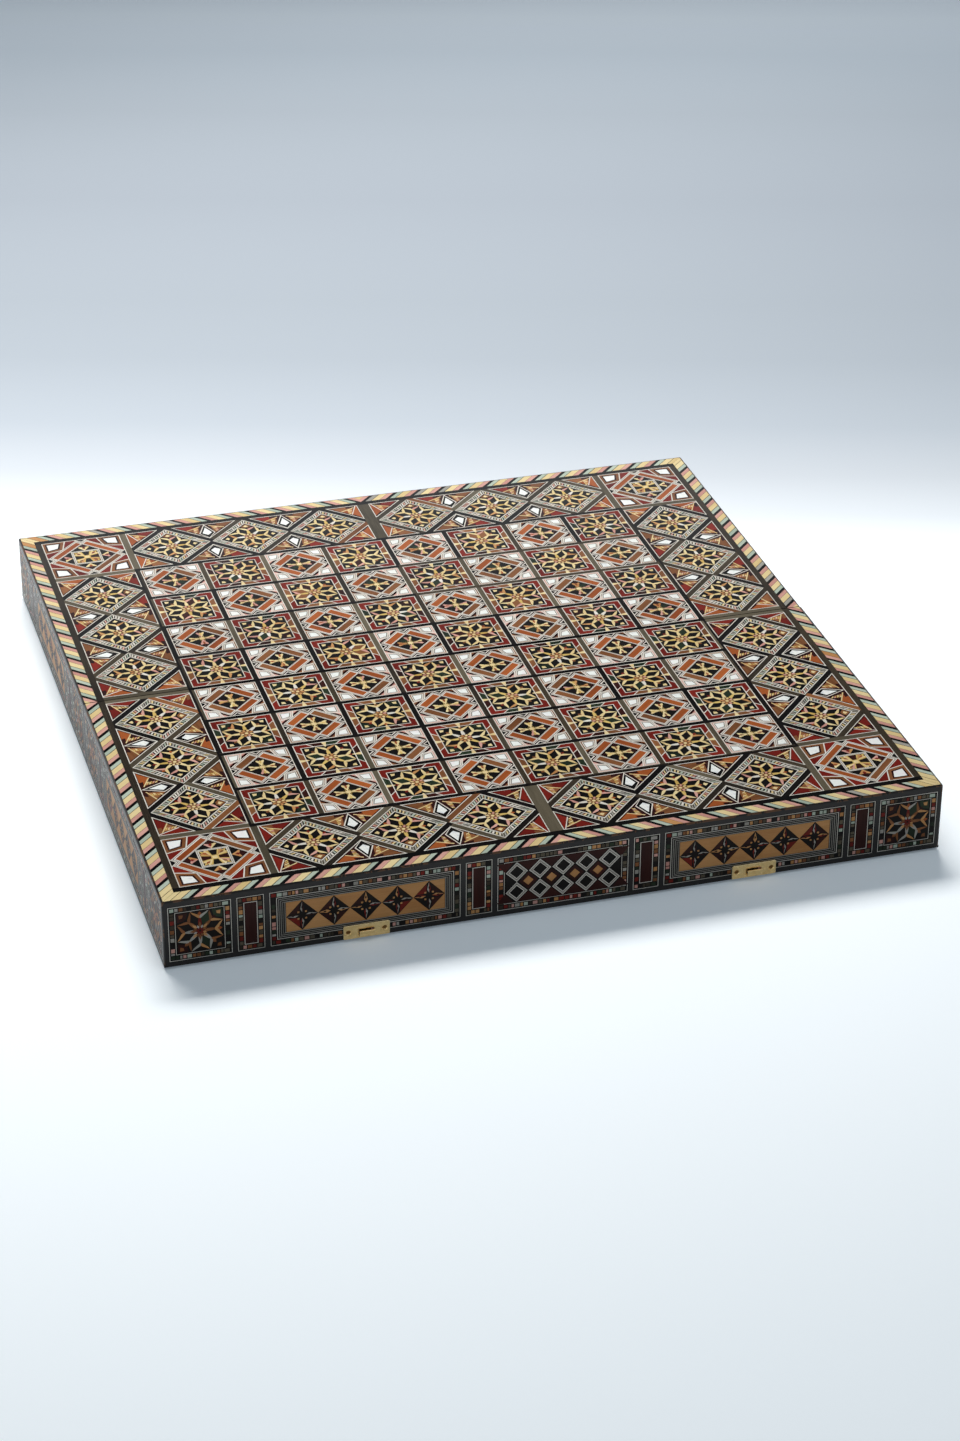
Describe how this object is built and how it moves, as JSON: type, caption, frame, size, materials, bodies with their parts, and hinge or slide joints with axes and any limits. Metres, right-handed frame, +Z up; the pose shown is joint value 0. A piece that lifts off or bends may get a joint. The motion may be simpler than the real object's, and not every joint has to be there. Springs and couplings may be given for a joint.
{
  "type": "chess and backgammon board",
  "caption": "Folding inlaid wooden games box: two hinged trays open flat into a chess board outside and a backgammon field inside.",
  "frame": {"origin": "on the table under the middle of the hinge line, with the box open and chess side up", "axes": "+X along the hinge line to the right, +Y towards the rear tray, +Z up out of the chess face"},
  "size_m": [0.5, 0.506, 0.0478],
  "materials": {
    "core_board": "raw plywood",
    "wall_wood": "lacquered wood",
    "rim_walnut": "lacquered wood",
    "ebonised_wood": "lacquered inlay",
    "striped_edging": "lacquered inlay",
    "light_marquetry": "lacquered inlay",
    "dark_marquetry": "lacquered inlay",
    "star_marquetry": "lacquered inlay",
    "triangle_marquetry": "lacquered inlay",
    "corner_marquetry": "lacquered inlay",
    "star_panel_marquetry": "lacquered inlay",
    "slim_panel_marquetry": "lacquered inlay",
    "long_panel_marquetry": "lacquered inlay",
    "centre_panel_marquetry": "lacquered inlay",
    "lining_veneer": "lacquered inlay",
    "field_veneer": "lacquered inlay",
    "light_point_veneer": "lacquered inlay",
    "dark_point_veneer": "lacquered inlay",
    "brass": "polished brass"
  },
  "bodies": {
    "front_tray": {"front_base_board": "core_board", "front_outer_wall": "wall_wood", "front_hinge_wall": "wall_wood", "front_left_wall": "wall_wood", "front_right_wall": "wall_wood", "front_rim_strips": "rim_walnut", "front_side_sheets": "ebonised_wood", "front_rope_edging": "striped_edging", "front_black_ground": "ebonised_wood", "front_light_squares": "light_marquetry", "front_dark_squares": "dark_marquetry", "front_star_diamonds": "star_marquetry", "front_border_triangles": "triangle_marquetry", "front_corner_panels": "corner_marquetry", "front_star_panels": "star_panel_marquetry", "front_slim_panels": "slim_panel_marquetry", "front_long_panels": "long_panel_marquetry", "front_centre_panel": "centre_panel_marquetry", "front_wall_linings": "lining_veneer", "front_field_veneer": "field_veneer", "front_light_points": "light_point_veneer", "front_dark_points": "dark_point_veneer", "front_hinge_leaves": "brass", "hinge_pins": "brass", "front_hinge_screws": "brass", "catch_plates": "brass", "catch_screws": "brass"},
    "rear_tray": {"rear_base_board": "core_board", "rear_outer_wall": "wall_wood", "rear_hinge_wall": "wall_wood", "rear_left_wall": "wall_wood", "rear_right_wall": "wall_wood", "rear_rim_strips": "rim_walnut", "rear_side_sheets": "ebonised_wood", "rear_rope_edging": "striped_edging", "rear_black_ground": "ebonised_wood", "rear_light_squares": "light_marquetry", "rear_dark_squares": "dark_marquetry", "rear_star_diamonds": "star_marquetry", "rear_border_triangles": "triangle_marquetry", "rear_corner_panels": "corner_marquetry", "rear_star_panels": "star_panel_marquetry", "rear_slim_panels": "slim_panel_marquetry", "rear_long_panels": "long_panel_marquetry", "rear_centre_panel": "centre_panel_marquetry", "rear_wall_linings": "lining_veneer", "rear_field_veneer": "field_veneer", "rear_light_points": "light_point_veneer", "rear_dark_points": "dark_point_veneer", "rear_hinge_leaves": "brass", "rear_hinge_screws": "brass", "hook_plates": "brass", "hook_screws": "brass", "hook_rivets": "brass"},
    "left_hook": {"left_latch_hook": "brass"},
    "right_hook": {"right_latch_hook": "brass"}
  },
  "joints": [
    {"name": "fold", "type": "hinge", "parent": "front_tray", "child": "rear_tray", "pos_m": [0, 0, 0.0016], "axis": [-1, 0, 0], "range_deg": [0, 180]},
    {"name": "left_hook_swing", "type": "hinge", "parent": "rear_tray", "child": "left_hook", "pos_m": [-0.118, 0.25165, 0.0099], "axis": [0, 1, 0], "range_deg": [0, 90]},
    {"name": "right_hook_swing", "type": "hinge", "parent": "rear_tray", "child": "right_hook", "pos_m": [0.132, 0.25165, 0.0099], "axis": [0, 1, 0], "range_deg": [0, 90]}
  ]
}
